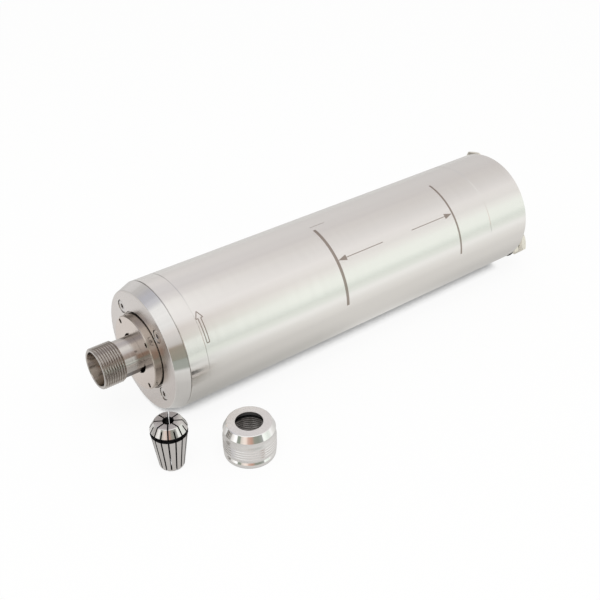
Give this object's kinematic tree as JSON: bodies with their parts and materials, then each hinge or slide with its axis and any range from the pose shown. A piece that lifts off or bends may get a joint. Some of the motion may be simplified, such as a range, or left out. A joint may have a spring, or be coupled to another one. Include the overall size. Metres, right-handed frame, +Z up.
{
  "type": "motor spindle",
  "caption": "Water-cooled motor spindle with a threaded collet nose, a plain round housing to clamp, and its spring collet and clamping nut standing beside it.",
  "frame": {"origin": "on the spindle's axis, in the middle of the marked zone where a mount grips the housing", "axes": "+X along the axis from the nose to the rear end, +Z up, -Y towards the loose collet and nut"},
  "size_m": [0.3341, 0.1278, 0.08],
  "materials": {
    "brushed_stainless": "turned and brushed round the axis",
    "hardened_ground_steel": "ground bright",
    "polished_tool_steel": "ground and polished",
    "plain_screw_steel": "cold formed stainless",
    "black_oxide_steel": "chemically blackened, satin",
    "nickel_plated_brass": "plated, satin bright",
    "bearing_steel": "superfinished",
    "brass": "machined",
    "turned_steel": "turned",
    "sleeve_aluminium": "turned",
    "cast_aluminium": "as cast, turned outside",
    "lamination_steel": "stacked sheets, varnished",
    "enamelled_copper": "enamelled wire, impregnated",
    "seal_rubber": "moulded nitrile rubber",
    "insulator_plastic": "moulded glass-filled plastic",
    "gold_plated_contact": "gold plated"
  },
  "bodies": {
    "housing": {"front_cover": "brushed_stainless", "front_bearing_housing": "brushed_stainless", "outer_jacket": "brushed_stainless", "rear_housing": "brushed_stainless", "terminal_plate": "brushed_stainless", "front_cover_screws": "plain_screw_steel", "terminal_plate_screws": "plain_screw_steel", "inlet_fitting": "nickel_plated_brass", "inlet_nut": "nickel_plated_brass", "outlet_fitting": "nickel_plated_brass", "outlet_nut": "nickel_plated_brass", "socket_shell": "nickel_plated_brass", "socket_nut": "nickel_plated_brass", "front_bearing_1_outer_ring": "bearing_steel", "front_bearing_2_outer_ring": "bearing_steel", "rear_bearing_1_outer_ring": "bearing_steel", "rear_bearing_2_outer_ring": "bearing_steel", "outer_spacer": "turned_steel", "rear_bearing_sleeve": "turned_steel", "preload_spring": "turned_steel", "cooling_sleeve": "sleeve_aluminium", "stator_core": "lamination_steel", "stator_windings": "enamelled_copper", "front_jacket_seal": "seal_rubber", "rear_jacket_seal": "seal_rubber", "inlet_washer": "seal_rubber", "outlet_washer": "seal_rubber", "socket_insert": "insulator_plastic", "socket_contacts": "gold_plated_contact"},
    "rotor": {"shaft": "hardened_ground_steel", "slinger_disc": "hardened_ground_steel", "inner_spacer": "turned_steel", "rotor_core": "lamination_steel", "rotor_cage": "cast_aluminium", "balance_ring_front": "turned_steel", "balance_ring_rear": "turned_steel", "rear_lock_nut": "turned_steel", "front_bearing_1_inner_ring": "bearing_steel", "front_bearing_2_inner_ring": "bearing_steel", "rear_bearing_1_inner_ring": "bearing_steel", "rear_bearing_2_inner_ring": "bearing_steel"},
    "front_bearing_1_cage_set": {"front_bearing_1_cage": "brass", "front_bearing_1_balls": "bearing_steel"},
    "front_bearing_2_cage_set": {"front_bearing_2_cage": "brass", "front_bearing_2_balls": "bearing_steel"},
    "rear_bearing_1_cage_set": {"rear_bearing_1_cage": "brass", "rear_bearing_1_balls": "bearing_steel"},
    "rear_bearing_2_cage_set": {"rear_bearing_2_cage": "brass", "rear_bearing_2_balls": "bearing_steel"},
    "collet": {"collet": "polished_tool_steel"},
    "clamping_nut": {"clamping_nut": "polished_tool_steel", "nut_ring": "black_oxide_steel"}
  },
  "joints": [
    {"name": "rotor_spin", "type": "hinge", "parent": "housing", "child": "rotor", "pos_m": [0, 0, 0], "axis": [1, 0, 0], "continuous": true},
    {"name": "front_bearing_1_cage_spin", "type": "hinge", "parent": "housing", "child": "front_bearing_1_cage_set", "pos_m": [-0.157, 0, 0], "axis": [1, 0, 0], "continuous": true},
    {"name": "front_bearing_2_cage_spin", "type": "hinge", "parent": "housing", "child": "front_bearing_2_cage_set", "pos_m": [-0.139, 0, 0], "axis": [1, 0, 0], "continuous": true},
    {"name": "rear_bearing_1_cage_spin", "type": "hinge", "parent": "housing", "child": "rear_bearing_1_cage_set", "pos_m": [0.076, 0, 0], "axis": [1, 0, 0], "continuous": true},
    {"name": "rear_bearing_2_cage_spin", "type": "hinge", "parent": "housing", "child": "rear_bearing_2_cage_set", "pos_m": [0.086, 0, 0], "axis": [1, 0, 0], "continuous": true},
    {"name": "collet_lift", "type": "slide", "parent": "housing", "child": "collet", "axis": [0, 0, 1], "range_m": [0, 0.1]},
    {"name": "nut_lift", "type": "slide", "parent": "housing", "child": "clamping_nut", "axis": [0, 0, 1], "range_m": [0, 0.1]}
  ],
  "couplings": [
    {"joint": "front_bearing_1_cage_spin", "follows": "rotor_spin", "ratio": 0.41951},
    {"joint": "front_bearing_2_cage_spin", "follows": "rotor_spin", "ratio": 0.41951},
    {"joint": "rear_bearing_1_cage_spin", "follows": "rotor_spin", "ratio": 0.41455},
    {"joint": "rear_bearing_2_cage_spin", "follows": "rotor_spin", "ratio": 0.41455}
  ]
}
